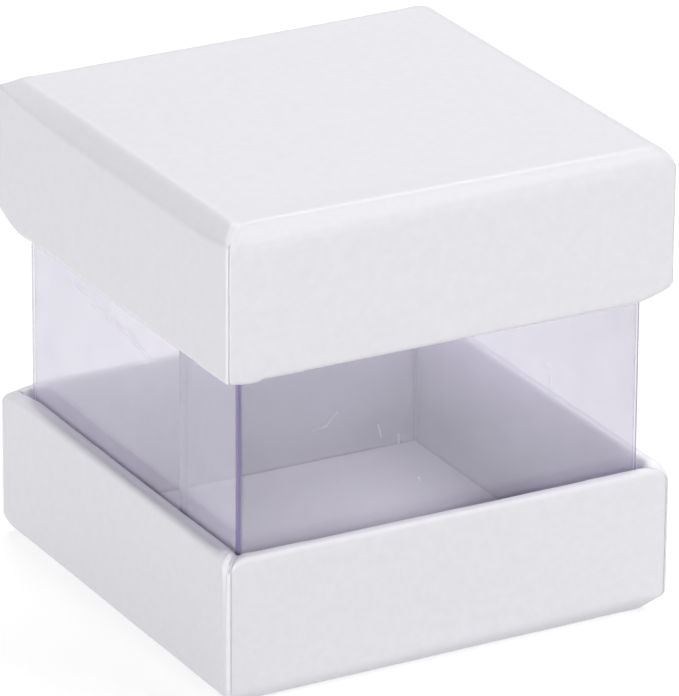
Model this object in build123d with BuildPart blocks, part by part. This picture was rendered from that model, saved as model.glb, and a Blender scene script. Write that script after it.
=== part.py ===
"""Clear-sided favor box: a paper-wrapped board tray, a matching lid and a folded film sleeve between them.

The sleeve stands on the tray's floor sheet and carries the lid. The box stands on the XY plane with its
centre on the Z axis, and its front is towards -Y. Lengths are in millimetres.
"""

import math
import os

from build123d import *

# Whole box: the outside width, and the heights of the tray, of the film that shows above it and of the lid
BOX_WIDTH = 50.8
TRAY_HEIGHT = 16.1
FILM_BAND = 18.6
LID_HEIGHT = 16.1

# Board, paper and tape of the tray and the lid
BOARD_THICKNESS = 1.2
PAPER_THICKNESS = 0.15
LINER_THICKNESS = 0.15
STAY_THICKNESS = 0.1
STAY_LEG = 8.5
# The scored folds are flattened to a bevel outside, with softened edges, and rounded inside
FOLD_BEVEL = 1.9
FOLD_BEVEL_ROUND = 1.0
FOLD_INSIDE_RADIUS = 0.65
# The board's cut edges are rounded by this share of its thickness
EDGE_ROUND_SHARE = 0.375
# Each wall's rim drops by this much towards the wall's ends, over this length
CORNER_DROP = 1.4
CORNER_REACH = 4.5
# Height of bare board left inside, between the fold and the turned-in paper
BARE_STRIP = 2.6

# Film sleeve
FILM_THICKNESS = 0.3
CREASE_INSIDE_RADIUS = 0.1
GLUE_FLAP_WIDTH = 13.0
GLUE_WIDTH = 1.9
GLUE_THICKNESS = 0.05

# Clearances: the liner from the folds, and the sleeve from the liner's edge
LINER_GAP = 0.1
SLEEVE_INSET = 0.3

# Sizes that follow from the driving dimensions
box_half = BOX_WIDTH / 2
box_height = TRAY_HEIGHT + FILM_BAND + LID_HEIGHT
board_half = box_half - PAPER_THICKNESS
board_inside_half = board_half - BOARD_THICKNESS
wall_thickness = BOARD_THICKNESS + 2 * PAPER_THICKNESS
board_bevel = FOLD_BEVEL - (2 - math.sqrt(2)) * PAPER_THICKNESS
board_bevel_round = FOLD_BEVEL_ROUND - PAPER_THICKNESS
board_edge_round = EDGE_ROUND_SHARE * BOARD_THICKNESS
board_floor_top = PAPER_THICKNESS + BOARD_THICKNESS
liner_top = board_floor_top + LINER_THICKNESS
liner_half = board_inside_half - FOLD_INSIDE_RADIUS - LINER_GAP
sleeve_half = liner_half - SLEEVE_INSET
sleeve_inside_half = sleeve_half - FILM_THICKNESS
sleeve_height = box_height - 2 * liner_top
flap_face = -sleeve_half + FILM_THICKNESS + GLUE_THICKNESS
flap_end = -sleeve_half + GLUE_FLAP_WIDTH
upside_down = Location((0, 0, box_height), (180, 0, 0))

FRONT_BACK = {-1: "front", 1: "back"}
LEFT_RIGHT = {-1: "left", 1: "right"}

os.makedirs("parts", exist_ok=True)


def folded_tray(half, bottom, top, wall, bevel, bevel_round, edge_round):
    """A floor with four walls folded up from it: one side is made, then mirrored over the corner mitres."""
    drop_start = (half - CORNER_REACH, top)
    drop_end = (half, top - CORNER_DROP)
    with BuildPart() as tray:
        with BuildSketch(Plane.XZ) as section:
            with BuildLine():
                Polyline(
                    (0, bottom),
                    (half, bottom),
                    (half, top),
                    (half - wall, top),
                    (half - wall, board_floor_top),
                    (0, board_floor_top),
                    close=True,
                )
            make_face()
            inside_fold = section.vertices().group_by(Axis.X)[1].sort_by(Axis.Y)[0]
            fillet(inside_fold, radius=FOLD_INSIDE_RADIUS)
            outside_fold = section.vertices().group_by(Axis.X)[-1].sort_by(Axis.Y)[0]
            chamfer(outside_fold, length=bevel)
            bevel_top = section.vertices().group_by(Axis.X)[-1].sort_by(Axis.Y)[0]
            bevel_bottom = section.vertices().group_by(Axis.Y)[0].sort_by(Axis.X)[-1]
            fillet([bevel_top, bevel_bottom], radius=bevel_round)
        extrude(amount=half, both=True)
        with BuildSketch(Plane.YZ):
            with BuildLine():
                TangentArc(drop_start, drop_end, tangent=(1, 0))
                Polyline(drop_end, (half, top), drop_start)
            make_face()
            mirror(about=Plane.YZ)
        extrude(amount=half, both=True, mode=Mode.SUBTRACT)
        rim_edges = tray.edges().filter_by(Axis.Y).group_by(Axis.Z)[-1]
        fillet(rim_edges, radius=edge_round)
        mitres = [Plane((0, 0, 0), z_dir=(1, side, 0)) for side in (-1, 1)]
        for mitre in mitres:
            split(bisect_by=mitre, keep=Keep.TOP)
        for mitre in mitres:
            mirror(about=mitre)
        with BuildSketch(Plane.XY.offset(bottom)):
            RectangleRounded(2 * half, 2 * half, edge_round)
        extrude(amount=top - bottom, mode=Mode.INTERSECT)
    return tray.part


def board_form(height):
    """The folded board of a tray of this outside height, with no recess for its stays."""
    return folded_tray(
        board_half,
        PAPER_THICKNESS,
        height - PAPER_THICKNESS,
        BOARD_THICKNESS,
        board_bevel,
        board_bevel_round,
        board_edge_round,
    )


def corner_stay(height, side_x, side_y):
    """Paper tape round one vertical corner of the board, flush with the board's faces."""
    low = PAPER_THICKNESS + board_bevel + board_bevel_round
    high = height - PAPER_THICKNESS - CORNER_DROP - board_edge_round
    inner_half = board_half - STAY_THICKNESS
    inner_round = board_edge_round - STAY_THICKNESS
    with BuildPart() as stay:
        with BuildSketch(Plane.XY.offset(low)):
            RectangleRounded(2 * board_half, 2 * board_half, board_edge_round)
            RectangleRounded(2 * inner_half, 2 * inner_half, inner_round, mode=Mode.SUBTRACT)
            with Locations((side_x * (board_half - STAY_LEG / 2), side_y * (board_half - STAY_LEG / 2))):
                Rectangle(STAY_LEG, STAY_LEG, mode=Mode.INTERSECT)
        extrude(amount=high - low)
    return stay.part


def wrap_paper(height):
    """The paper over the outside of the board, round the rim and part of the way down inside."""
    turn_in_bottom = board_floor_top + FOLD_INSIDE_RADIUS + BARE_STRIP
    wrapped_form = folded_tray(
        box_half,
        0,
        height,
        wall_thickness,
        FOLD_BEVEL,
        FOLD_BEVEL_ROUND,
        board_edge_round + PAPER_THICKNESS,
    )
    board = board_form(height)
    with BuildPart() as wrap:
        add(wrapped_form)
        add(board, mode=Mode.SUBTRACT)
        with BuildSketch(Plane.XY.offset(board_floor_top)):
            Rectangle(2 * board_inside_half, 2 * board_inside_half)
        extrude(amount=turn_in_bottom - board_floor_top, mode=Mode.SUBTRACT)
    return wrap.part


def floor_liner():
    """The sheet glued over the board inside, between the folds."""
    with BuildPart() as liner:
        with BuildSketch(Plane.XY.offset(board_floor_top)):
            Rectangle(2 * liner_half, 2 * liner_half)
        extrude(amount=LINER_THICKNESS)
    return liner.part


def write_piece(shape, name, place):
    """Sets a finished piece in its place in the box and writes it under its name."""
    with BuildPart() as piece:
        with Locations(place):
            add(shape)
    piece.part.label = name
    export_step(piece.part, f"parts/{name}.step")


def write_wrapped_tray(name, height, place, y_turn):
    """Writes a tray's board, wrap, liner and stays. y_turn is -1 where its place swaps front and back."""
    stays = {}
    for side_x, x_word in LEFT_RIGHT.items():
        for side_y, y_word in FRONT_BACK.items():
            stays[f"{name}_stay_{y_word}_{x_word}"] = corner_stay(height, side_x, y_turn * side_y)
    form = board_form(height)
    with BuildPart() as board:
        add(form)
        add(stays.values(), mode=Mode.SUBTRACT)
    for stay_name, stay in stays.items():
        write_piece(stay, stay_name, place)
    write_piece(board.part, f"{name}_board", place)
    write_piece(wrap_paper(height), f"{name}_wrap", place)
    write_piece(floor_liner(), f"{name}_liner", place)


# Tray and lid: the lid is such a tray turned over about the X axis
write_wrapped_tray("tray", TRAY_HEIGHT, Location(), 1)
write_wrapped_tray("lid", LID_HEIGHT, upside_down, -1)

# Sleeve film: the left panel's free edge meets the front crease, and the glue flap lies inside that panel
with BuildPart() as sleeve_film:
    with BuildSketch(Plane.XY.offset(liner_top)):
        with BuildLine():
            outside = FilletPolyline(
                (-sleeve_half, -sleeve_half),
                (-sleeve_half, sleeve_half),
                (sleeve_half, sleeve_half),
                (sleeve_half, -sleeve_half),
                (flap_face, -sleeve_half),
                (flap_face, flap_end),
                radius=CREASE_INSIDE_RADIUS + FILM_THICKNESS,
            )
            inside = FilletPolyline(
                (-sleeve_inside_half, -sleeve_half),
                (-sleeve_inside_half, sleeve_inside_half),
                (sleeve_inside_half, sleeve_inside_half),
                (sleeve_inside_half, -sleeve_inside_half),
                (flap_face + FILM_THICKNESS, -sleeve_inside_half),
                (flap_face + FILM_THICKNESS, flap_end),
                radius=CREASE_INSIDE_RADIUS,
            )
            Line(outside @ 0, inside @ 0)
            Line(outside @ 1, inside @ 1)
        make_face()
    extrude(amount=sleeve_height)
sleeve_film.part.label = "sleeve_film"
export_step(sleeve_film.part, "parts/sleeve_film.step")

# Glue line along the flap's free edge, between the flap and the left panel
with BuildPart() as sleeve_glue_line:
    with BuildSketch(Plane.XY.offset(liner_top)):
        with Locations((flap_face - GLUE_THICKNESS / 2, flap_end - GLUE_WIDTH / 2)):
            Rectangle(GLUE_THICKNESS, GLUE_WIDTH)
    extrude(amount=sleeve_height)
sleeve_glue_line.part.label = "sleeve_glue_line"
export_step(sleeve_glue_line.part, "parts/sleeve_glue_line.step")
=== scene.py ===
"""Looks of a clear-sided favor box: a paper-wrapped tray and lid, and a creased film sleeve between them.

Everything is in metres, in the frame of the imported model. The corner nearest to the camera is front left,
at -X and -Y.
"""
import math
from collections import namedtuple

import bmesh
import bpy
import numpy as np
from mathutils import Matrix, Vector, noise


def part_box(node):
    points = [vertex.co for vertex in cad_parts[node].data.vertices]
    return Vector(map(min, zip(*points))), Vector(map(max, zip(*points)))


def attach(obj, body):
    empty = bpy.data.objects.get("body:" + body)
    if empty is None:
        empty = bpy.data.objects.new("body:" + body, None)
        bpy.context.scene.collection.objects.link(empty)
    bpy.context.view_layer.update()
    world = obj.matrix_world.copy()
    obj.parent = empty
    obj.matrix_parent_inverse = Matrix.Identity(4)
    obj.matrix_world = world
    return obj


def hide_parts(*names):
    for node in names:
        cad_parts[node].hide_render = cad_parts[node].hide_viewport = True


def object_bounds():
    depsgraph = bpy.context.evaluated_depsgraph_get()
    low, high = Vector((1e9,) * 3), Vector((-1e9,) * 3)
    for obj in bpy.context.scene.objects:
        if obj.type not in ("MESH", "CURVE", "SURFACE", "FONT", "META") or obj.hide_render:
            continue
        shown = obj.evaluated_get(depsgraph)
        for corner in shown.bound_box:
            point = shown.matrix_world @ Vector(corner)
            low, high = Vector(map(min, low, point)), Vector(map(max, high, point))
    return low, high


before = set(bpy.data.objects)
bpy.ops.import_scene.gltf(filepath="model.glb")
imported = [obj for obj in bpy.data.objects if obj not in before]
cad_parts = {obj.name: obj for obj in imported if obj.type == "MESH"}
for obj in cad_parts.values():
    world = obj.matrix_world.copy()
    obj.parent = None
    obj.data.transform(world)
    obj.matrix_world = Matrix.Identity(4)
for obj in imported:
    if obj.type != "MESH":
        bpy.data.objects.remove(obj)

MM = 0.001
cad_low, cad_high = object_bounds()
box_half = cad_high.x
box_top = cad_high.z

# Paper wrap: the sheet, the wall it covers, its bevelled folds and its rounded rims and corners
PAPER = 0.15 * MM
WALL = 1.5 * MM
RIM_RADIUS = 0.6 * MM
CORNER_RADIUS = 0.45 * MM
INSIDE_CORNER_RADIUS = 0.1 * MM
LEAST_RADIUS = 0.001 * MM
TURN_IN_BOTTOM = 4.6 * MM

# Folds: a bevel and the radius of its softened edges, for a rounded fold and for a flattened one
BEVEL_TANGENT = math.tan(math.pi / 8)
ROUND_FOLD = (1.2 * MM, 1.9 * MM)
FLAT_FOLD = (1.9 * MM, 1.2 * MM)

# Mesh lines along a wall, as distances from its nearer end in millimetres
NEAR_END = np.concatenate([
    np.arange(0, 1.2, 0.08),
    np.arange(1.2, 4.8, 0.2),
    (4.8, 5.4, 5.95, 6.1, 6.8, 7.6, 8.3, 8.6, 8.9, 9.6),
    np.linspace(11.0, 23.8, 9),
])
# Mesh lines across a wall, up its face as shares of its height
BEVEL_STEPS = 5
WALL_SHARES = np.concatenate([
    (0.02, 0.05, 0.1, 0.18),
    (0.27, 0.37, 0.47, 0.57, 0.67, 0.75),
    (0.81, 0.86, 0.9, 0.93, 0.955, 0.98, 1),
])
RIM_STEPS = 7
INSIDE_STEPS = 9
# Points nearer than this are one point
WELD = 0.001 * MM
POINT_KEY = 0.002 * MM

# Waves of the sheet, long and short
WAVE_RISE = 0.035 * MM
WAVE_SIZE = 9 * MM
RIPPLE_RISE = 0.012 * MM
RIPPLE_SIZE = 2.5 * MM

# The sheet under the floor lifts a little away from its edges
FLOOR_LIFT = 0.03 * MM
FLOOR_WAVE = 11 * MM
FLOOR_FADE = 4 * MM

# Crease along each fold, by its place over the fold from the floor to the wall
CREASE_DEPTH = 0.02 * MM
CREASE_PLACE = 0.9
CREASE_WIDTH = 0.06

# Seam at each corner: the sheet of the left and right walls goes round the corner and ends on the front or
# back wall
GROOVE_WIDTH = 0.16 * MM
GROOVE_DEPTH = 0.07 * MM
OVERLAP_RISE = 0.06 * MM
TAB_LENGTH = 7.0 * MM
TAB_FADE = 0.8 * MM
PINHOLE_DEPTH = 0.12 * MM
PINHOLE_SIZE = 0.22 * MM

# Tape round the board's corners, felt as a faint step in the front and back walls
STAY_REACH = 8.6 * MM
STAY_RISE = 0.03 * MM
STAY_FADE = 0.3 * MM

# Turned-in tab inside the left and right walls
INSIDE_TAB = 6.0 * MM
INSIDE_TAB_RISE = 0.1 * MM
INSIDE_TAB_SLANT = 1.6 * MM
TURN_IN_SLACK = 0.4 * MM

# The fold swells beside a shallow valley at each corner
VALLEY_DEPTH = 0.13 * MM
VALLEY_WIDTH = 0.45 * MM
PILLOW_PLACE = 0.95 * MM
PILLOW_WIDTH = 0.4 * MM
PILLOW_TAIL = 1.6 * MM
SIDE_PILLOW = 0.4

# The lid's front rim hangs a little near the nearest corner, and ends there in a short slanted crease
HANG_DROP = 0.25 * MM
HANG_FULL = 2.6 * MM
HANG_LAST = 3.2 * MM
HANG_END = 3.8 * MM
SLANT_DEPTH = 0.06 * MM
SLANT_WIDTH = 0.2 * MM
SLANT_LENGTH = 1.7 * MM
SLANT_SLOPE = 0.5

# The rim's drop at the corners fades by this share towards the inside
INSIDE_KEEP = 0.85

# The tray's left rim leans and swells inwards, less in the middle where the film bows out, with a flat top,
# and curls over at the nearest corner
RIM_LEAN = 0.2 * MM
LEAN_POWER = 1.6
RIM_SWELL = 0.82 * MM
SWELL_EASE = 0.16 * MM
RIM_FLATTEN = 0.5 * MM
LEAN_FADE = 3.0 * MM
CURL_RISE = 0.12 * MM
CURL_PLACE = 0.95 * MM
CURL_WIDTH = 0.25 * MM
CURL_DIP = 0.16 * MM
CURL_DIP_PLACE = 0.4 * MM

# Film sleeve
film_low, film_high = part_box("sleeve_film")
glue_low, glue_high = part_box("sleeve_glue_line")
FILM = 0.3 * MM
CREASE_RADIUS = 0.25 * MM
GLUE = 0.05 * MM
FILM_BOW = 0.15 * MM
FILM_WAVE_RISE = 0.04 * MM
FILM_WAVE_SIZE = 8 * MM
FILM_SEED = 3
FILM_ROWS = 33
PANEL_STEPS = 36
FLAP_STEPS = 16
CREASE_STEPS = 7
FILM_TINT = (0.994, 0.99, 1.0, 1)
FILM_HAZE = 0.12
SLANT_HAZE = 1.5
FILM_MIRROR = 0.05
FILM_GLOSS = 0.015
# Dark violet on the creases, stronger on the front right one, and on the cut edges: painted shade of the
# light that the film bends there, together with its tint seen through its thickness
CREASE_SHADE_VIOLET = 0.3
RIGHT_CREASE_SHADE_VIOLET = 0.65
FLAP_DUST = 0.6
CUT_EDGE_SHADE_VIOLET = 0.9
FREE_EDGE = 0.45 * MM
FREE_EDGE_FADE = 0.05 * MM
HAZE_CHANGE = 0.008
DUST_SCALE = 160

# Glue: a strip short of the film's top and bottom, with wavy edges given by rise, size and seed, and milky
# patches between two shares
GLUE_END_GAP = 0.2 * MM
GLUE_EDGE_GAP = 0.1 * MM
GLUE_FILL = 0.45
GLUE_THIN_EDGE = 0.02
GLUE_ROWS = 60
GLUE_COLUMNS = 7
GLUE_LOW_EDGE = (0.12 * MM, 4 * MM, 11)
GLUE_HIGH_EDGE = (0.06 * MM, 3 * MM, 17)
GLUE_SCALE = 700
GLUE_MILK = (0.1, 0.2)

# Scratches and flecks on the film, in millimetres: along and up the left panel, and along and up the front
# panel. Depth through the film counts little, so that a scratch follows the bowed film.
SCRATCH_WIDTH = 0.08 * MM
SCRATCH_HAZE = 0.22
SCRATCH_CORE = 0.3
SQUASH = 0.1
LEFT_SCRATCHES = [
    ((14.6, 31.9), (5.0, 31.4)),
    ((9.0, 30.9), (1.5, 30.6)),
    ((4.5, 31.2), (-4.5, 29.5)),
    ((0.5, 31.3), (-1.6, 29.9)),
]
FRONT_SCRATCHES = [
    ((-14.8, 27.2), (-13.2, 27.3)),
    ((-13.2, 27.3), (-11.8, 28.8)),
    ((-7.2, 26.3), (-6.9, 24.9)),
    ((-4.9, 24.9), (-4.9, 23.9)),
    ((-2.6, 19.8), (-2.5, 19.3)),
    ((11.9, 29.5), (12.7, 26.7)),
]

# The way each wall faces, and the way along it
WALL_SIDES = {
    "front": (Vector((0, -1, 0)), Vector((1, 0, 0))),
    "right": (Vector((1, 0, 0)), Vector((0, 1, 0))),
    "back": (Vector((0, 1, 0)), Vector((-1, 0, 0))),
    "left": (Vector((-1, 0, 0)), Vector((0, -1, 0))),
}
SIDE_WALLS = ("left", "right")
# A normal's outward part from which a face counts as the wall's outside, or its inside if negative
FULLY = 0.99

# A corner of the tray or the lid, in millimetres and shares: how far its rim drops, over what length of the
# left or right wall and of the front or back wall, how flat its folds are, what share of the folds' height is
# left there, over what length of each wall, and how much the folds swell beside it
DROP_POWER = 1.5
Corner = namedtuple(
    "Corner",
    "drop side_reach front_reach flat fold side_fold_reach front_fold_reach pillow",
    defaults=(0.0, 1.0, 8, 8, 0.06),
)
TRAY_CORNERS = {
    (-1, -1): Corner(1.0, 2.0, 1.4),
    (1, -1): Corner(0.9, 1.8, 1.8, 1.0),
    (-1, 1): Corner(0.95, 3.5, 5.5),
    (1, 1): Corner(1.0, 3.5, 3.5),
}
LID_CORNERS = {
    (-1, -1): Corner(0.1, 2.0, 2.0, 1.0, 0.65, 9.0, 1.6, 0.18),
    (1, -1): Corner(1.28, 4.5, 4.5),
    (-1, 1): Corner(1.5, 4.4, 4.0, 1.0, 0.5, 18.0, 6.0),
    (1, 1): Corner(1.0, 3.8, 3.8),
}

# A tray, or a lid as a tray upside down: its height, its corners, how far from them its seams are, the seed
# of its waves, its place, the wall whose rim leans and the wall beside that one, and the wall ends with the
# hanging rim, the curled rim and the pinhole, from both sides of the pinhole's corner, with its height
Tray = namedtuple(
    "Tray",
    "height corners seam seed place lean lean_beside hang curl pinhole pinhole_beside pinhole_height",
)

# Angles in degrees from which an edge is shown sharp
PAPER_SHARP = 40
FILM_SHARP = 50
GLUE_SHARP = 60

# The span of a noise texture's values that is used
NOISE_SPAN = (0.3, 0.7)

# Paper: sizes of its mottling, specks and fibres as noise scales, how rare and large its specks are, and how
# much these show
MOTTLE_SCALE = 900
SPECK_SCALE = 170
FIBRE_SCALE = 3200
FIBRE_BUMP = 0.12
FIBRE_DEPTH = 0.02 * MM
SPECK_CHANCE = (0.78, 0.8)
SPECK_SIZE = (0.012, 0.03)
SPECK_SHOW = 0.4
# How much the seam grooves and pinholes are darkened: painted shade, with a little grey of the cut paper edge
SEAM_SHADE_AND_EDGE_GREY = 0.35
ROUGHNESS_CHANGE = 0.05

# Studio: floor, fill light and camera
FLOOR_REACH = 6.0
FLOOR_GAP = 0.02 * MM
FLOOR_GREY = 0.6
FLOOR_GLOW = 0.68
FILL_COLOUR = (0.985, 0.98, 1.0, 1)
FILL_STRENGTH = 0.03
CAMERA_AZIMUTH = -28.728
CAMERA_ELEVATION = 22.315
CAMERA_ROLL = 0.348
CAMERA_DISTANCE = 0.72277
CAMERA_ASIDE = 0.822 * MM
CAMERA_ABOVE = -0.48 * MM
CAMERA_SENSOR = 36
CAMERA_LENS = 364.5
CAMERA_CLIP = 0.01
# Soft lamps: azimuth and elevation in degrees, distance and size in metres, and power in watts
LAMPS = {
    "front_low": (-4, 11, 0.9, 0.4, 3.75),
    "right_high": (58, 53, 0.9, 0.6, 3.05),
    "back_high": (150, 50, 0.9, 0.6, 3.7),
    "left_low": (-87, 6, 0.9, 0.3, 4.1),
}


def smooth_step(low, high, value):
    """0 below low, 1 above high, and a smooth rise between them."""
    share = np.clip((value - low) / (high - low), 0, 1)
    return share * share * (3 - 2 * share)


def wavy(points, size, seed):
    """Smooth noise between about -1 and 1 at each point, with waves of this size."""
    offset = Vector((seed, 2.3 * seed, -1.7 * seed))
    values = [noise.noise(Vector(p) / size + offset) for p in points.reshape(-1, 3)]
    return np.array(values).reshape(points.shape[:-1])


def mesh_object(name, points, faces, sharp_degrees):
    """A smooth-shaded mesh with sharp edges where it turns by more than the angle given."""
    mesh = bpy.data.meshes.new(name)
    mesh.from_pydata([tuple(p) for p in points], [], faces)
    builder = bmesh.new()
    builder.from_mesh(mesh)
    bmesh.ops.remove_doubles(builder, verts=builder.verts, dist=WELD)
    bmesh.ops.recalc_face_normals(builder, faces=builder.faces)
    builder.to_mesh(mesh)
    builder.free()
    mesh.shade_smooth()
    mesh.set_sharp_from_angle(angle=math.radians(sharp_degrees))
    piece = bpy.data.objects.new(name, mesh)
    bpy.context.scene.collection.objects.link(piece)
    return piece


def wall_columns():
    """Places along a wall, from -1 at one end to 1 at the other."""
    half = np.append(-1 + NEAR_END * MM / box_half, 0)
    return np.append(half, -half[-2::-1])


def fold_reach(flat):
    """How far a fold reaches over the floor and up the wall: flat goes from 0, round, to 1, flattened."""
    reach = [bevel + edge_radius * BEVEL_TANGENT for bevel, edge_radius in (ROUND_FOLD, FLAT_FOLD)]
    return reach[0] + flat * (reach[1] - reach[0])


def wrap_section(fold, height):
    """Stations of the sheet's face from the fold over the rim to the turned-in edge.

    Each one is its inset from the wall's face, its height, the outward and the upward part of its normal, and
    how much of the rim's drop it takes.
    """
    bevel, edge_radius = fold
    fold_end = bevel + edge_radius * BEVEL_TANGENT
    wall_top = height - RIM_RADIUS
    slope = math.sqrt(0.5)
    bevel_start = edge_radius * (1 - slope)
    stations = []
    for angle in np.linspace(0, math.pi / 4, BEVEL_STEPS):
        out, down = math.sin(angle), math.cos(angle)
        stations.append((fold_end - edge_radius * out, edge_radius * (1 - down), out, -down, 0))
    for inset in np.linspace(bevel - bevel_start, bevel_start, BEVEL_STEPS)[1:-1]:
        stations.append((inset, bevel - inset, slope, -slope, 0))
    for angle in np.linspace(math.pi / 4, math.pi / 2, BEVEL_STEPS):
        out, down = math.sin(angle), math.cos(angle)
        stations.append((edge_radius * (1 - out), fold_end - edge_radius * down, out, -down, 0))
    for share in WALL_SHARES:
        stations.append((0, fold_end + share * (wall_top - fold_end), 1, 0, share**3))
    for angle in np.linspace(0, math.pi / 2, RIM_STEPS)[1:]:
        out, up = math.cos(angle), math.sin(angle)
        stations.append((RIM_RADIUS * (1 - out), wall_top + RIM_RADIUS * up, out, up, 1))
    for angle in np.linspace(0, math.pi / 2, RIM_STEPS):
        back, up = math.sin(angle), math.cos(angle)
        stations.append((WALL - RIM_RADIUS * (1 - back), wall_top + RIM_RADIUS * up, -back, up, 1))
    for share in np.linspace(0, 1, INSIDE_STEPS)[1:]:
        stations.append((WALL, wall_top - share * (wall_top - TURN_IN_BOTTOM), -1, 0, (1 - share) ** 3))
    return np.array(stations).T[..., None]


def wall_corners(side, corners):
    """The two corners of a wall, by the end of the wall that each is at."""
    facing, along = WALL_SIDES[side]
    found = {}
    for end in (-1, 1):
        corner = facing + end * along
        found[end] = corners[(round(corner.x), round(corner.y))]
    return found


def corner_profile(side, tray, end, from_end):
    """The rim's drop, the share of the folds' height that is left and the folds' swelling, along a wall."""
    sideways = side in SIDE_WALLS
    drop = np.zeros_like(from_end)
    fold = np.ones_like(from_end)
    pillow = np.zeros_like(from_end)
    for wall_end, corner in wall_corners(side, tray.corners).items():
        here = end == wall_end
        reach = (corner.side_reach if sideways else corner.front_reach) * MM
        corner_drop = corner.drop * MM * np.clip(1 - from_end / reach, 0, 1) ** DROP_POWER
        if tray.hang == (side, wall_end):
            corner_drop = corner_drop - rim_hang(from_end)
        drop = np.where(here, corner_drop, drop)
        reach = (corner.side_fold_reach if sideways else corner.front_fold_reach) * MM
        growth = np.sin(math.pi / 2 * np.clip(from_end / reach, 0, 1))
        fold = np.where(here, corner.fold + (1 - corner.fold) * growth, fold)
        pillow = np.where(here, corner.pillow * MM, pillow)
    return drop, fold, pillow


def wrap_wall(side, tray):
    """Points and outward normals of one wall's sheet, and how deep in a seam or pinhole each point is, which
    sets the shade painted there.
    """
    facing, along = (np.array(v) for v in WALL_SIDES[side])
    sideways = side in SIDE_WALLS
    ends = wall_corners(side, tray.corners)
    place = wall_columns()[None, :]
    end = np.where(place < 0, -1, 1)
    from_end = (1 - np.abs(place)) * box_half
    flat = (ends[-1].flat * (1 - place) + ends[1].flat * (1 + place)) / 2
    fold_end = fold_reach(flat)
    rounded, flattened = (wrap_section(fold, tray.height) for fold in (ROUND_FOLD, FLAT_FOLD))
    inset, rise, out, up, drop_share = rounded + flat * (flattened - rounded)
    inside_face = out < -FULLY
    inside_share = np.clip(inset / WALL, 0, 1)
    leaning = drop_share * lean_share(tray, side, end, from_end)
    swell = RIM_SWELL - SWELL_EASE * (1 - place**2)
    inset = inset + swell * leaning * inside_share**2

    # Plan: straight with a rounded corner at each end
    half = box_half - inset
    radius = np.where(out >= 0, CORNER_RADIUS * (1 - np.clip(inset / fold_end, 0, 1)), INSIDE_CORNER_RADIUS)
    radius = np.maximum(radius, LEAST_RADIUS)
    turn = math.pi / 4 * np.clip(1 - from_end / radius, 0, 1)
    bent = turn > 0
    across = np.where(bent, half - radius * (1 - np.cos(turn)), half)
    length = np.where(bent, end * (half - radius * (1 - np.sin(turn))), place * half)
    turned = np.cos(turn)[..., None] * facing + (end * np.sin(turn))[..., None] * along

    # Height: the rim drops and the bevel grows lower towards the corners
    drop, fold, pillow = corner_profile(side, tray, end, from_end)
    wall_top = tray.height - RIM_RADIUS
    stretch = (wall_top - fold_end * fold) / (wall_top - fold_end)
    lowered = np.where(rise < fold_end, rise * fold, wall_top - (wall_top - rise) * stretch)
    height = np.where((rise < wall_top) & (out > -0.5), lowered, rise)
    height = height - drop * drop_share * (1 - INSIDE_KEEP * inside_share)
    flatten = RIM_FLATTEN * (1 - up) * (out < 1 - FULLY)
    height = height + leaning * (flatten - RIM_LEAN * (inset / WALL) ** LEAN_POWER)

    # The turned-in edge is not cut straight
    if sideways:
        slant = np.where(from_end < INSIDE_TAB, INSIDE_TAB_SLANT * from_end / INSIDE_TAB, TURN_IN_SLACK)
        height = height + inside_face * (1 - drop_share) * slant

    points = across[..., None] * facing + length[..., None] * along
    points[..., 2] = height
    normals = out[..., None] * turned + up[..., None] * np.array((0, 0, 1))
    relief = wave_relief(points, tray.seed) + fold_relief(fold_end, inset, rise, from_end, sideways, pillow)
    seam, groove = seam_relief(tray.seam, fold_end, rise, inside_face, from_end, sideways)
    relief = relief + seam * (1 - leaning * (out < 0))
    for wall_end in ends:
        here = end == wall_end
        if tray.hang == (side, wall_end):
            relief = relief - here * slanted_crease(tray.height - rise, from_end) * (out > FULLY)
        if tray.curl == (side, wall_end):
            relief = relief + here * rim_curl(from_end) * drop_share * np.clip(1 + out, 0, 1)
        if (side, wall_end) in (tray.pinhole, tray.pinhole_beside):
            hole = here * pinhole(height, from_end, tray.pinhole_height)
            relief = relief - PINHOLE_DEPTH * hole
            groove = np.maximum(groove, hole)
    return points + relief[..., None] * normals, normals, groove


def lean_share(tray, side, end, from_end):
    """The rim leans all along one wall, less at its far end, and near the corner in the wall beside it."""
    away = smooth_step(0, LEAN_FADE, from_end)
    if side == tray.lean:
        return np.where(end > 0, 1, away)
    if side == tray.lean_beside:
        return np.where(end < 0, 1 - away, 0)
    return 0 * away


def rim_hang(from_end):
    return HANG_DROP * smooth_step(0, HANG_FULL, from_end) * (1 - smooth_step(HANG_LAST, HANG_END, from_end))


def slanted_crease(above_rim, from_end):
    """Depth of the short crease that runs up from where the hanging rim ends."""
    line = HANG_END + SLANT_SLOPE * above_rim
    return SLANT_DEPTH * np.exp(-(((from_end - line) / SLANT_WIDTH) ** 2)) * (above_rim < SLANT_LENGTH)


def rim_curl(from_end):
    lip = CURL_RISE * np.exp(-(((from_end - CURL_PLACE) / CURL_WIDTH) ** 2))
    dip = CURL_DIP * np.exp(-(((from_end - CURL_DIP_PLACE) / CURL_WIDTH) ** 2))
    return lip - dip * smooth_step(0, CURL_DIP_PLACE, from_end)


def pinhole(height, from_end, hole_height):
    return np.exp(-((from_end / PINHOLE_SIZE) ** 2) - ((height - hole_height) / PINHOLE_SIZE) ** 2)


def wave_relief(points, seed):
    return WAVE_RISE * wavy(points, WAVE_SIZE, seed) + RIPPLE_RISE * wavy(points, RIPPLE_SIZE, seed + 5)


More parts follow.
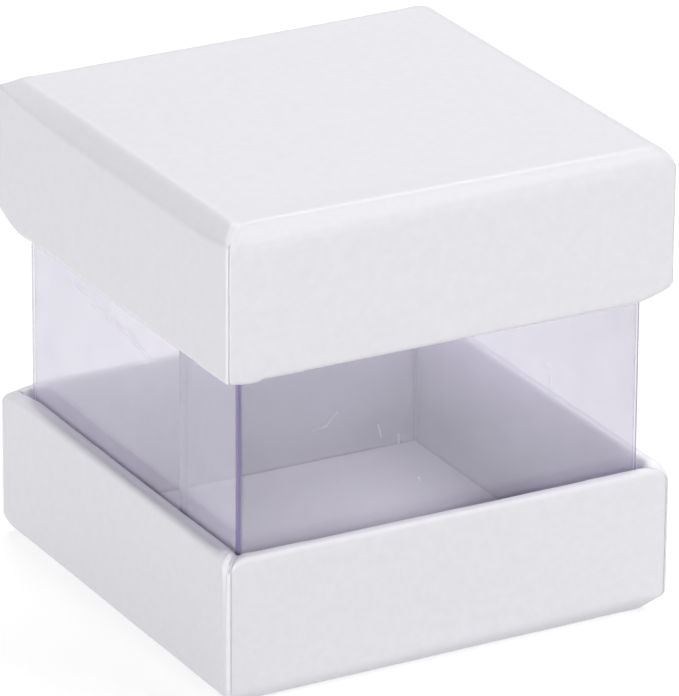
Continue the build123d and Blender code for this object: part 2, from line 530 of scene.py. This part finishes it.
def fold_relief(fold_end, inset, rise, from_end, sideways, pillow):
    """Crease along the fold, and its swelling and valley at the corners."""
    share = np.clip((rise + fold_end - inset) / (2 * fold_end), 0, 1) * (rise <= fold_end)
    over_fold = np.sin(math.pi * share) ** 0.6
    crease = CREASE_DEPTH * np.exp(-(((share - CREASE_PLACE) / CREASE_WIDTH) ** 2))
    valley = np.exp(-((from_end / VALLEY_WIDTH) ** 2))
    tail = np.where(from_end > PILLOW_PLACE, PILLOW_TAIL, PILLOW_WIDTH)
    swell = np.exp(-(((from_end - PILLOW_PLACE) / tail) ** 2)) * smooth_step(0, PILLOW_PLACE, from_end)
    if sideways:
        swell = SIDE_PILLOW * swell
    return over_fold * (pillow * swell - crease - VALLEY_DEPTH * valley)


def seam_relief(seam, fold_end, rise, inside_face, from_end, sideways):
    """Overlap and groove at the corner seams, the tape's step and the turned-in tab; and the groove alone, as
    the mask for the shade painted in it.
    """
    groove_end = seam + GROOVE_WIDTH
    beside_seam = smooth_step(0, groove_end, from_end)
    on_wall = smooth_step(0.6 * fold_end, fold_end, rise)
    if sideways:
        over_tab = 1 - smooth_step(TAB_LENGTH - TAB_FADE, TAB_LENGTH, from_end)
        tab = INSIDE_TAB_RISE * inside_face * (from_end < INSIDE_TAB)
        return on_wall * OVERLAP_RISE * over_tab + tab * beside_seam, 0 * from_end * rise
    step = 1 - smooth_step(STAY_REACH - STAY_FADE, STAY_REACH, from_end)
    in_groove = on_wall * (from_end > seam) * (from_end < groove_end)
    overlap = OVERLAP_RISE * (from_end < seam)
    return on_wall * (STAY_RISE * step * beside_seam + overlap) - in_groove * GROOVE_DEPTH, in_groove


def wrap_floor(tray):
    """Points of the flat sheet under the floor, in rows."""
    across, back = np.meshgrid(wall_columns(), wall_columns())
    flat = sum(c.flat * (1 + x * across) * (1 + y * back) / 4 for (x, y), c in tray.corners.items())
    half = box_half - fold_reach(flat)
    points = np.stack([across * half, back * half, np.zeros_like(across)], axis=-1)
    to_edge = half * (1 - np.maximum(np.abs(across), np.abs(back)))
    lift = FLOOR_LIFT * (1 + wavy(points, FLOOR_WAVE, tray.seed))
    points[..., 2] = lift * smooth_step(0, FLOOR_FADE, to_edge)
    return points


def grid_faces(rows, columns, first, flip):
    """Faces of a grid of points that starts at index first."""
    faces = []
    for r in range(rows - 1):
        for c in range(columns - 1):
            corner = first + r * columns + c
            face = (corner, corner + 1, corner + columns + 1, corner + columns)
            faces.append(face[::-1] if flip else face)
    return faces


def paper_wrap(name, tray):
    """A tray's sheet as a closed shell: floor, walls, rims and turned-in edges, with its glued side."""
    points, faces, groove_shades = [], [], []

    def add_grid(grid, flip, groove):
        first = sum(len(p) for p in points)
        rows, columns = grid.shape[:2]
        points.append(grid.reshape(-1, 3))
        groove_shades.append(groove.reshape(-1))
        faces.extend(grid_faces(rows, columns, first, flip))

    floor = wrap_floor(tray)
    zero = np.zeros(floor.shape[:2])
    add_grid(floor, True, zero)
    add_grid(floor + np.array((0, 0, PAPER)), False, zero)
    for side in WALL_SIDES:
        face, normals, groove = wrap_wall(side, tray)
        glued = face - PAPER * normals
        face[0, :, 2] = 0
        glued[0, :, 2] = PAPER
        add_grid(face, False, groove)
        add_grid(glued, True, 0 * groove)
        add_grid(np.stack([face[-1], glued[-1]]), False, np.zeros((2, face.shape[1])))
    placed = tray.place(np.concatenate(points))
    piece = mesh_object(name, placed, faces, PAPER_SHARP)
    mark_groove_shade(piece, placed, np.concatenate(groove_shades))
    return piece


def mark_groove_shade(piece, points, groove_shades):
    """Stores on the mesh how deep in the seam each of its points is, as the mask for painted shade in the
    seams and pinholes.
    """
    def key(point):
        return tuple(np.round(np.array(point, float) / POINT_KEY).astype(int))

    deep = {key(p): g for p, g in zip(points, groove_shades) if g > 0}
    layer = piece.data.attributes.new("seam", "FLOAT", "POINT")
    for vertex, item in zip(piece.data.vertices, layer.data):
        item.value = deep.get(key(vertex.co), 0)


def as_it_is(points):
    return points


def turned_over(points):
    """The lid is a tray turned over about the X axis."""
    return points * np.array((1, -1, -1)) + np.array((0, 0, box_top))


def film_path():
    """Middle line of the film seen from above: points, outward normals, shares of dark violet painted on the
    creases as shade of the light bent there, and shares of dust.
    """
    half = film_high.x - FILM / 2
    flap = -film_high.x + FILM + GLUE + FILM / 2
    bend = half - CREASE_RADIUS
    flap_end = glue_high.y
    stations = []

    def panel(start, stop, facing, steps, dust=1.0):
        start, stop, facing = np.array(start), np.array(stop), np.array(facing)
        shares = 0.5 - 0.5 * np.cos(np.linspace(0, math.pi, steps))
        for share in shares:
            stations.append((*(start + share * (stop - start)), *facing, 0.0, dust))

    def crease(centre, first_degrees, last_degrees, violet):
        for degrees in np.linspace(first_degrees, last_degrees, CREASE_STEPS)[1:-1]:
            facing = np.array((math.cos(math.radians(degrees)), math.sin(math.radians(degrees))))
            stations.append((*(np.array(centre) + CREASE_RADIUS * facing), *facing, violet, 1.0))

    for from_edge in (0, FREE_EDGE):
        stations.append((-half, -film_high.x + from_edge, -1, 0, 1.0, 1.0))
    panel((-half, -film_high.x + FREE_EDGE + FREE_EDGE_FADE), (-half, bend), (-1, 0), PANEL_STEPS)
    crease((-bend, bend), 180, 90, CREASE_SHADE_VIOLET)
    panel((-bend, half), (bend, half), (0, 1), PANEL_STEPS)
    crease((bend, bend), 90, 0, CREASE_SHADE_VIOLET)
    panel((half, bend), (half, -bend), (1, 0), PANEL_STEPS)
    crease((bend, -bend), 0, -90, RIGHT_CREASE_SHADE_VIOLET)
    panel((bend, -half), (flap + CREASE_RADIUS, -half), (0, -1), PANEL_STEPS)
    crease((flap + CREASE_RADIUS, -bend), -90, -180, 0.0)
    panel((flap, -bend), (flap, flap_end), (-1, 0), FLAP_STEPS, FLAP_DUST)
    return np.array(stations)


def film_sway(points):
    """How far the film stands off its flat panels. The flap follows the panel that it is glued to."""
    half = film_high.x
    middle = (film_low.z + film_high.z) / 2
    tall = np.cos(math.pi / 2 * np.clip((points[..., 2] - middle) / (film_high.z - middle), -1, 1))
    across = np.where(np.abs(points[..., 0]) > np.abs(points[..., 1]), points[..., 1], points[..., 0])
    wide = np.clip(1 - (across / half) ** 2, 0, 1)
    shared = points.copy()
    left = (points[..., 0] < -0.9 * half) & (np.abs(points[..., 1]) <= half)
    shared[left, 0] = -half
    return wide * (FILM_BOW * tall + FILM_WAVE_RISE * wavy(shared, FILM_WAVE_SIZE, FILM_SEED))


def film_sleeve():
    """The creased film as one closed sheet, with marks for its creases and cut edges, where painted dark
    violet stands in for the light bent in the film.
    """
    path = film_path()
    heights = np.linspace(film_low.z, film_high.z, FILM_ROWS)
    base = np.zeros((len(heights), len(path), 3))
    base[..., 0] = path[:, 0]
    base[..., 1] = path[:, 1]
    base[..., 2] = heights[:, None]
    facing = np.zeros_like(base)
    facing[..., 0] = path[:, 2]
    facing[..., 1] = path[:, 3]
    base = base + film_sway(base)[..., None] * facing
    rows, columns = base.shape[:2]
    outside = (base + FILM / 2 * facing).reshape(-1, 3)
    inside = (base - FILM / 2 * facing).reshape(-1, 3)
    count = rows * columns
    faces = grid_faces(rows, columns, 0, True) + grid_faces(rows, columns, count, False)
    cut_faces = []
    for c in range(columns - 1):
        for r, turn in ((0, 1), (rows - 1, -1)):
            a = r * columns + c
            cut_faces.append((a, a + 1, count + a + 1, count + a)[::turn])
    for r in range(rows - 1):
        for c, turn in ((0, -1), (columns - 1, 1)):
            a = r * columns + c
            cut_faces.append((a, a + columns, count + a + columns, count + a)[::turn])
    mesh = bpy.data.meshes.new("sleeve_film_sheet")
    mesh.from_pydata([tuple(p) for p in np.concatenate([outside, inside])], [], faces + cut_faces)
    mesh.shade_smooth()
    mesh.set_sharp_from_angle(angle=math.radians(FILM_SHARP))
    creases = mesh.attributes.new("crease", "FLOAT", "POINT")
    creases.data.foreach_set("value", np.tile(path[:, 4], 2 * rows))
    dust = mesh.attributes.new("dust", "FLOAT", "POINT")
    dust.data.foreach_set("value", np.tile(path[:, 5], 2 * rows))
    cuts = mesh.attributes.new("cut_edge", "FLOAT", "FACE")
    cuts.data.foreach_set("value", np.repeat((0.0, 1.0), (len(faces), len(cut_faces))))
    piece = bpy.data.objects.new("sleeve_film_sheet", mesh)
    bpy.context.scene.collection.objects.link(piece)
    return piece


def glue_strip():
    """The glue between the flap and the left panel, with uneven edges."""
    rows, columns = GLUE_ROWS, GLUE_COLUMNS
    heights = np.linspace(glue_low.z + GLUE_END_GAP, glue_high.z - GLUE_END_GAP, rows)
    across = np.linspace(0, 1, columns)
    base = np.zeros((rows, columns, 3))
    base[..., 0] = -film_high.x + FILM + GLUE / 2
    base[..., 2] = heights[:, None]

    def edge_waves(rise, size, seed):
        return rise * wavy(base[:, :1], size, seed)[..., 0]

    low_edge = glue_low.y + edge_waves(*GLUE_LOW_EDGE)
    high_edge = glue_high.y - GLUE_EDGE_GAP + edge_waves(*GLUE_HIGH_EDGE)
    base[..., 1] = low_edge[:, None] + across * (high_edge - low_edge)[:, None]
    base[..., 0] -= film_sway(base)
    half_thick = GLUE_FILL * GLUE * np.sqrt(np.clip(1 - (2 * across - 1) ** 2, GLUE_THIN_EDGE, 1))
    outside = base.copy()
    outside[..., 0] -= half_thick
    inside = base.copy()
    inside[..., 0] += half_thick
    count = rows * columns
    faces = grid_faces(rows, columns, 0, False) + grid_faces(rows, columns, count, True)
    for r in range(rows - 1):
        for c in (0, columns - 1):
            a = r * columns + c
            faces.append((a, a + columns, count + a + columns, count + a))
    for c in range(columns - 1):
        for r in (0, rows - 1):
            a = r * columns + c
            faces.append((a, a + 1, count + a + 1, count + a))
    points = np.concatenate([outside.reshape(-1, 3), inside.reshape(-1, 3)])
    return mesh_object("sleeve_glue_strip", points, faces, GLUE_SHARP)


def add_node(tree, kind, values=None, **settings):
    """A shader node with its settings, and its inputs set to values or joined to other nodes' outputs."""
    node = tree.nodes.new(kind)
    for key, value in settings.items():
        setattr(node, key, value)
    for key, value in (values or {}).items():
        if isinstance(value, bpy.types.NodeSocket):
            tree.links.new(value, node.inputs[key])
        else:
            node.inputs[key].default_value = value
    return node


def new_material(name):
    material = bpy.data.materials.new(name)
    material.use_nodes = True
    material.node_tree.nodes.clear()
    return material, material.node_tree


def finish_material(tree, surface):
    add_node(tree, "ShaderNodeOutputMaterial", {"Surface": surface})


def object_place(tree):
    return add_node(tree, "ShaderNodeTexCoord").outputs["Object"]


def noise_value(tree, place, scale, detail=2.0, roughness=0.5):
    values = {"Vector": place, "Scale": scale, "Detail": detail, "Roughness": roughness}
    return add_node(tree, "ShaderNodeTexNoise", values).outputs["Fac"]


def mapped(tree, value, low, high, to_low, to_high):
    """A value between low and high, eased to between to_low and to_high."""
    values = {"Value": value, "From Min": low, "From Max": high, "To Min": to_low, "To Max": to_high}
    return add_node(tree, "ShaderNodeMapRange", values, interpolation_type="SMOOTHSTEP").outputs["Result"]


def maths(tree, operation, first, second, third=0.0):
    return add_node(tree, "ShaderNodeMath", {0: first, 1: second, 2: third}, operation=operation).outputs[0]


def vector_maths(tree, operation, values, output="Vector"):
    return add_node(tree, "ShaderNodeVectorMath", values, operation=operation).outputs[output]


def mesh_mark(tree, name):
    """A value stored on the mesh."""
    return add_node(tree, "ShaderNodeAttribute", attribute_name=name).outputs["Fac"]


def seen_directly(tree):
    """1 for the camera's own rays and their reflections and refractions, 0 for light that only fills."""
    seen = add_node(tree, "ShaderNodeLightPath")
    direct = maths(tree, "MAXIMUM", seen.outputs["Is Camera Ray"], seen.outputs["Is Glossy Ray"])
    return maths(tree, "MAXIMUM", direct, seen.outputs["Is Transmission Ray"])


def mixed(tree, share, first, second):
    """Colour between first and second."""
    node = add_node(tree, "ShaderNodeMix", data_type="RGBA")
    first_colour, second_colour = (socket for socket in node.inputs if socket.type == "RGBA")
    for socket, value in ((node.inputs["Factor"], share), (first_colour, first), (second_colour, second)):
        if isinstance(value, bpy.types.NodeSocket):
            tree.links.new(value, socket)
        else:
            socket.default_value = value
    return next(socket for socket in node.outputs if socket.type == "RGBA")


def colour(red, green, blue):
    """A screen colour, 0 to 255, as the linear colour that a shader takes."""
    def linear(level):
        share = level / 255
        return share / 12.92 if share <= 0.04045 else ((share + 0.055) / 1.055) ** 2.4

    return (linear(red), linear(green), linear(blue), 1)


def paper_material(name, pale, shaded, rough, with_seam_shade):
    """White paper: faint mottling and fibres, a few specks in the pulp, and painted shade in the seam grooves
    and pinholes, with a little grey of the cut paper edge.
    """
    material, tree = new_material(name)
    place = object_place(tree)
    mottle = mapped(tree, noise_value(tree, place, MOTTLE_SCALE, 4.0, 0.6), *NOISE_SPAN, 0.0, 1.0)
    paint = mixed(tree, mottle, shaded, pale)
    cells = add_node(tree, "ShaderNodeTexVoronoi", {"Vector": place, "Scale": SPECK_SCALE})
    chance = add_node(tree, "ShaderNodeSeparateColor", {"Color": cells.outputs["Color"]}).outputs[0]
    rare = mapped(tree, chance, *SPECK_CHANCE, 0.0, 1.0)
    spot = mapped(tree, cells.outputs["Distance"], *SPECK_SIZE, SPECK_SHOW, 0.0)
    paint = mixed(tree, maths(tree, "MULTIPLY", rare, spot), paint, colour(176, 164, 150))
    if with_seam_shade:
        # Painted shade in the seam grooves and pinholes, partly the grey of the cut paper edge
        seam = maths(tree, "MULTIPLY", mesh_mark(tree, "seam"), SEAM_SHADE_AND_EDGE_GREY)
        paint = mixed(tree, seam, paint, colour(150, 148, 152))
    fibre = noise_value(tree, place, FIBRE_SCALE, 3.0, 0.6)
    values = {"Height": fibre, "Strength": FIBRE_BUMP, "Distance": FIBRE_DEPTH}
    bump = add_node(tree, "ShaderNodeBump", values)
    patches = noise_value(tree, place, MOTTLE_SCALE, 2.0)
    gloss = mapped(tree, patches, *NOISE_SPAN, rough - ROUGHNESS_CHANGE, rough + ROUGHNESS_CHANGE)
    values = {"Base Color": paint, "Roughness": gloss, "Normal": bump.outputs["Normal"]}
    shader = add_node(tree, "ShaderNodeBsdfPrincipled", values)
    shader.inputs["Specular IOR Level"].default_value = 0.5
    finish_material(tree, shader.outputs[0])
    return material


def stroke(tree, place, start, stop):
    """1 along a straight scratch between two points, 0 away from it."""
    run = stop - start
    from_start = vector_maths(tree, "SUBTRACT", {0: place, 1: start})
    along = vector_maths(tree, "DOT_PRODUCT", {0: from_start, 1: run / run.length_squared}, "Value")
    held = add_node(tree, "ShaderNodeClamp", {"Value": along}).outputs[0]
    nearest = vector_maths(tree, "SCALE", {0: run, "Scale": held})
    gap = vector_maths(tree, "DISTANCE", {0: from_start, 1: nearest}, "Value")
    return mapped(tree, gap, SCRATCH_CORE * SCRATCH_WIDTH, SCRATCH_WIDTH, 1.0, 0.0)


def scratches(tree, place, panel, marks):
    """1 along a panel's scratches, 0 away from them. panel is where the panel's plane crosses its axis."""
    spread = Vector([SQUASH if distance else 1 for distance in panel])
    squashed = vector_maths(tree, "MULTIPLY", {0: place, 1: spread})
    found = 0.0
    for mark in marks:
        ends = []
        for along, high in mark:
            end = Vector([SQUASH * distance if distance else along * MM for distance in panel])
            end.z = high * MM
            ends.append(end)
        found = maths(tree, "ADD", stroke(tree, squashed, *ends), found)
    return found


def film_dust(tree, place, facing):
    """How hazy the film is: more at a slant and along scratches, less on the flap."""
    patches = noise_value(tree, place, DUST_SCALE, 2.0)
    dust = mapped(tree, patches, *NOISE_SPAN, FILM_HAZE - HAZE_CHANGE, FILM_HAZE + HAZE_CHANGE)
    dust = maths(tree, "MULTIPLY", dust, maths(tree, "MULTIPLY_ADD", facing, SLANT_HAZE, 1.0))
    dust = maths(tree, "MULTIPLY", dust, mesh_mark(tree, "dust"))
    for panel, marks in (((film_low.x, 0, 0), LEFT_SCRATCHES), ((0, film_low.y, 0), FRONT_SCRATCHES)):
        dust = maths(tree, "MULTIPLY_ADD", scratches(tree, place, panel, marks), SCRATCH_HAZE, dust)
    return dust


def film_material():
    """Clear film with a lavender cast: gloss, haze and scratches, and creases and cut edges painted dark
    violet, painted shade of the light bent in the film together with its tint seen through its thickness.
    """
    material, tree = new_material("clear_film")
    facing = add_node(tree, "ShaderNodeLayerWeight", {"Blend": 0.5}).outputs["Facing"]
    mirror = maths(tree, "POWER", facing, 5.0)
    mirror = maths(tree, "MULTIPLY_ADD", mirror, 1 - FILM_MIRROR, FILM_MIRROR)
    clear = add_node(tree, "ShaderNodeBsdfTransparent", {"Color": FILM_TINT})
    gloss = add_node(tree, "ShaderNodeBsdfGlossy", {"Color": (1, 1, 1, 1), "Roughness": FILM_GLOSS})
    sheet = add_node(tree, "ShaderNodeMixShader", {0: mirror, 1: clear.outputs[0], 2: gloss.outputs[0]})

    dust = film_dust(tree, object_place(tree), facing)
    values = {"Base Color": colour(238, 234, 254), "Roughness": 0.6}
    haze = add_node(tree, "ShaderNodeBsdfPrincipled", values)
    hazy = add_node(tree, "ShaderNodeMixShader", {0: dust, 1: sheet.outputs[0], 2: haze.outputs[0]})

    # Creases and cut edges painted dark violet: painted shade of the light that the film bends there, and
    # partly its tint seen through its thickness
    cut = maths(tree, "MULTIPLY", mesh_mark(tree, "cut_edge"), CUT_EDGE_SHADE_VIOLET)
    edge = maths(tree, "MAXIMUM", mesh_mark(tree, "crease"), cut)
    values = {"Base Color": colour(140, 129, 174), "Roughness": 0.3}
    violet = add_node(tree, "ShaderNodeBsdfPrincipled", values)
    surface = add_node(tree, "ShaderNodeMixShader", {0: edge, 1: hazy.outputs[0], 2: violet.outputs[0]})
    finish_material(tree, surface.outputs[0])
    return material


def glue_material():
    """Dried clear glue: mostly see-through, a little milky, with uneven thickness."""
    material, tree = new_material("clear_glue")
    patches = noise_value(tree, object_place(tree), GLUE_SCALE, 3.0)
    uneven = mapped(tree, patches, *NOISE_SPAN, *GLUE_MILK)
    clear = add_node(tree, "ShaderNodeBsdfTransparent", {"Color": (1, 1, 1, 1)})
    values = {"Base Color": colour(244, 242, 254), "Roughness": 0.4}
    milky = add_node(tree, "ShaderNodeBsdfPrincipled", values)
    surface = add_node(tree, "ShaderNodeMixShader", {0: uneven, 1: clear.outputs[0], 2: milky.outputs[0]})
    finish_material(tree, surface.outputs[0])
    return material


def floor_material():
    """White floor: shown white to the camera and in reflections, and still darkened by the box's shadow."""
    material, tree = new_material("studio_floor")
    glow = maths(tree, "MULTIPLY", seen_directly(tree), FLOOR_GLOW)
    matt = add_node(tree, "ShaderNodeBsdfDiffuse", {"Color": (FLOOR_GREY, FLOOR_GREY, FLOOR_GREY, 1)})
    lift = add_node(tree, "ShaderNodeEmission", {"Strength": glow})
    both = add_node(tree, "ShaderNodeAddShader", {0: matt.outputs[0], 1: lift.outputs[0]})
    finish_material(tree, both.outputs[0])
    return material


def studio_floor():
    mesh = bpy.data.meshes.new("studio_floor")
    corners = [(x * FLOOR_REACH, y * FLOOR_REACH, 0) for x, y in ((-1, -1), (1, -1), (1, 1), (-1, 1))]
    mesh.from_pydata(corners, [], [(0, 1, 2, 3)])
    piece = bpy.data.objects.new("studio_floor", mesh)
    bpy.context.scene.collection.objects.link(piece)
    piece.location.z = cad_low.z - FLOOR_GAP
    mesh.materials.append(floor_material())


def studio_world():
    """White to the camera and in reflections, and an even, slightly cool fill for everything else."""
    world = bpy.data.worlds.new("studio")
    bpy.context.scene.world = world
    world.use_nodes = True
    tree = world.node_tree
    tree.nodes.clear()
    fill = add_node(tree, "ShaderNodeBackground", {"Color": FILL_COLOUR, "Strength": FILL_STRENGTH})
    white = add_node(tree, "ShaderNodeBackground", {"Color": (1, 1, 1, 1), "Strength": 1.0})
    direct = seen_directly(tree)
    both = add_node(tree, "ShaderNodeMixShader", {0: direct, 1: fill.outputs[0], 2: white.outputs[0]})
    add_node(tree, "ShaderNodeOutputWorld", {"Surface": both.outputs[0]})


def view_axes(azimuth, elevation):
    """Backward, right and up directions of a view from this azimuth and elevation, in degrees."""
    a, e = math.radians(azimuth), math.radians(elevation)
    back = Vector((math.sin(a) * math.cos(e), -math.cos(a) * math.cos(e), math.sin(e)))
    right = Vector((math.cos(a), math.sin(a), 0))
    return back, right, back.cross(right)


def placed_view(place, right, up, back):
    """Placement of a lamp or camera at a point, with its right, up and backward directions."""
    return Matrix.Translation(place) @ Matrix((right, up, back)).transposed().to_4x4()


def softbox(name, azimuth, elevation, distance, size, power):
    """A large soft lamp that looks at the middle of the box."""
    lamp = bpy.data.lights.new(name, "AREA")
    lamp.shape = "DISK"
    lamp.size = size
    lamp.energy = power
    holder = bpy.data.objects.new(name, lamp)
    bpy.context.scene.collection.objects.link(holder)
    back, right, up = view_axes(azimuth, elevation)
    centre = Vector((0, 0, box_top / 2))
    holder.matrix_world = placed_view(centre + distance * back, right, up, back)


def photo_camera():
    """Camera at the photo's viewing angle."""
    roll = math.radians(CAMERA_ROLL)
    back, right, up = view_axes(CAMERA_AZIMUTH, CAMERA_ELEVATION)
    rolled_right = right * math.cos(roll) + up * math.sin(roll)
    rolled_up = up * math.cos(roll) - right * math.sin(roll)
    data = bpy.data.cameras.new("photo_camera")
    data.sensor_width = CAMERA_SENSOR
    data.lens = CAMERA_LENS
    data.clip_start = CAMERA_CLIP
    camera = bpy.data.objects.new("photo_camera", data)
    bpy.context.scene.collection.objects.link(camera)
    centre = Vector((0, 0, box_top / 2))
    place = centre + rolled_right * CAMERA_ASIDE + rolled_up * CAMERA_ABOVE + back * CAMERA_DISTANCE
    camera.matrix_world = placed_view(place, rolled_right, rolled_up, back)
    bpy.context.scene.camera = camera


def set_material(piece, material):
    piece.data.materials.clear()
    piece.data.materials.append(material)


# Paper wraps
tray_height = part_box("tray_wrap")[1].z
lid_height = box_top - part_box("lid_wrap")[0].z
wrap_material = paper_material("wrap_paper", colour(247, 246, 251), colour(244, 243, 248), 0.42, True)
lid_corners = {(x, -y): corner for (x, y), corner in LID_CORNERS.items()}
WRAPS = {
    "tray": Tray(
        height=tray_height,
        corners=TRAY_CORNERS,
        seam=0.3 * MM,
        seed=1,
        place=as_it_is,
        lean="left",
        lean_beside="front",
        hang=None,
        curl=("left", 1),
        pinhole=("front", -1),
        pinhole_beside=("left", 1),
        pinhole_height=14.95 * MM,
    ),
    "lid": Tray(
        height=lid_height,
        corners=lid_corners,
        seam=0.04 * MM,
        seed=31,
        place=turned_over,
        lean=None,
        lean_beside=None,
        hang=("back", 1),
        curl=None,
        pinhole=("back", 1),
        pinhole_beside=("left", -1),
        pinhole_height=1.4 * MM,
    ),
}
for body, tray in WRAPS.items():
    wrap = paper_wrap(f"{body}_paper", tray)
    set_material(wrap, wrap_material)
    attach(wrap, body)
    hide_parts(f"{body}_wrap")

# Film sleeve and its glue
film = film_sleeve()
set_material(film, film_material())
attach(film, "sleeve")
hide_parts("sleeve_film")
glue = glue_strip()
set_material(glue, glue_material())
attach(glue, "sleeve")
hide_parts("sleeve_glue_line")

# Materials of the CAD nodes that stay
liner_material = paper_material("liner_paper", colour(250, 248, 253), colour(247, 245, 250), 0.6, False)
board_material = paper_material("white_lined_board", colour(245, 243, 247), colour(240, 238, 242), 0.7, False)
tape_material = paper_material("paper_tape", colour(228, 226, 228), colour(220, 218, 221), 0.65, False)
for node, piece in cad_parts.items():
    if node.endswith("_liner"):
        set_material(piece, liner_material)
    elif node.endswith("_board"):
        set_material(piece, board_material)
    elif "_stay_" in node:
        set_material(piece, tape_material)

# Studio
studio_floor()
studio_world()
for lamp_name, lamp_values in LAMPS.items():
    softbox(lamp_name, *lamp_values)
photo_camera()
bpy.context.scene.view_settings.view_transform = "Standard"
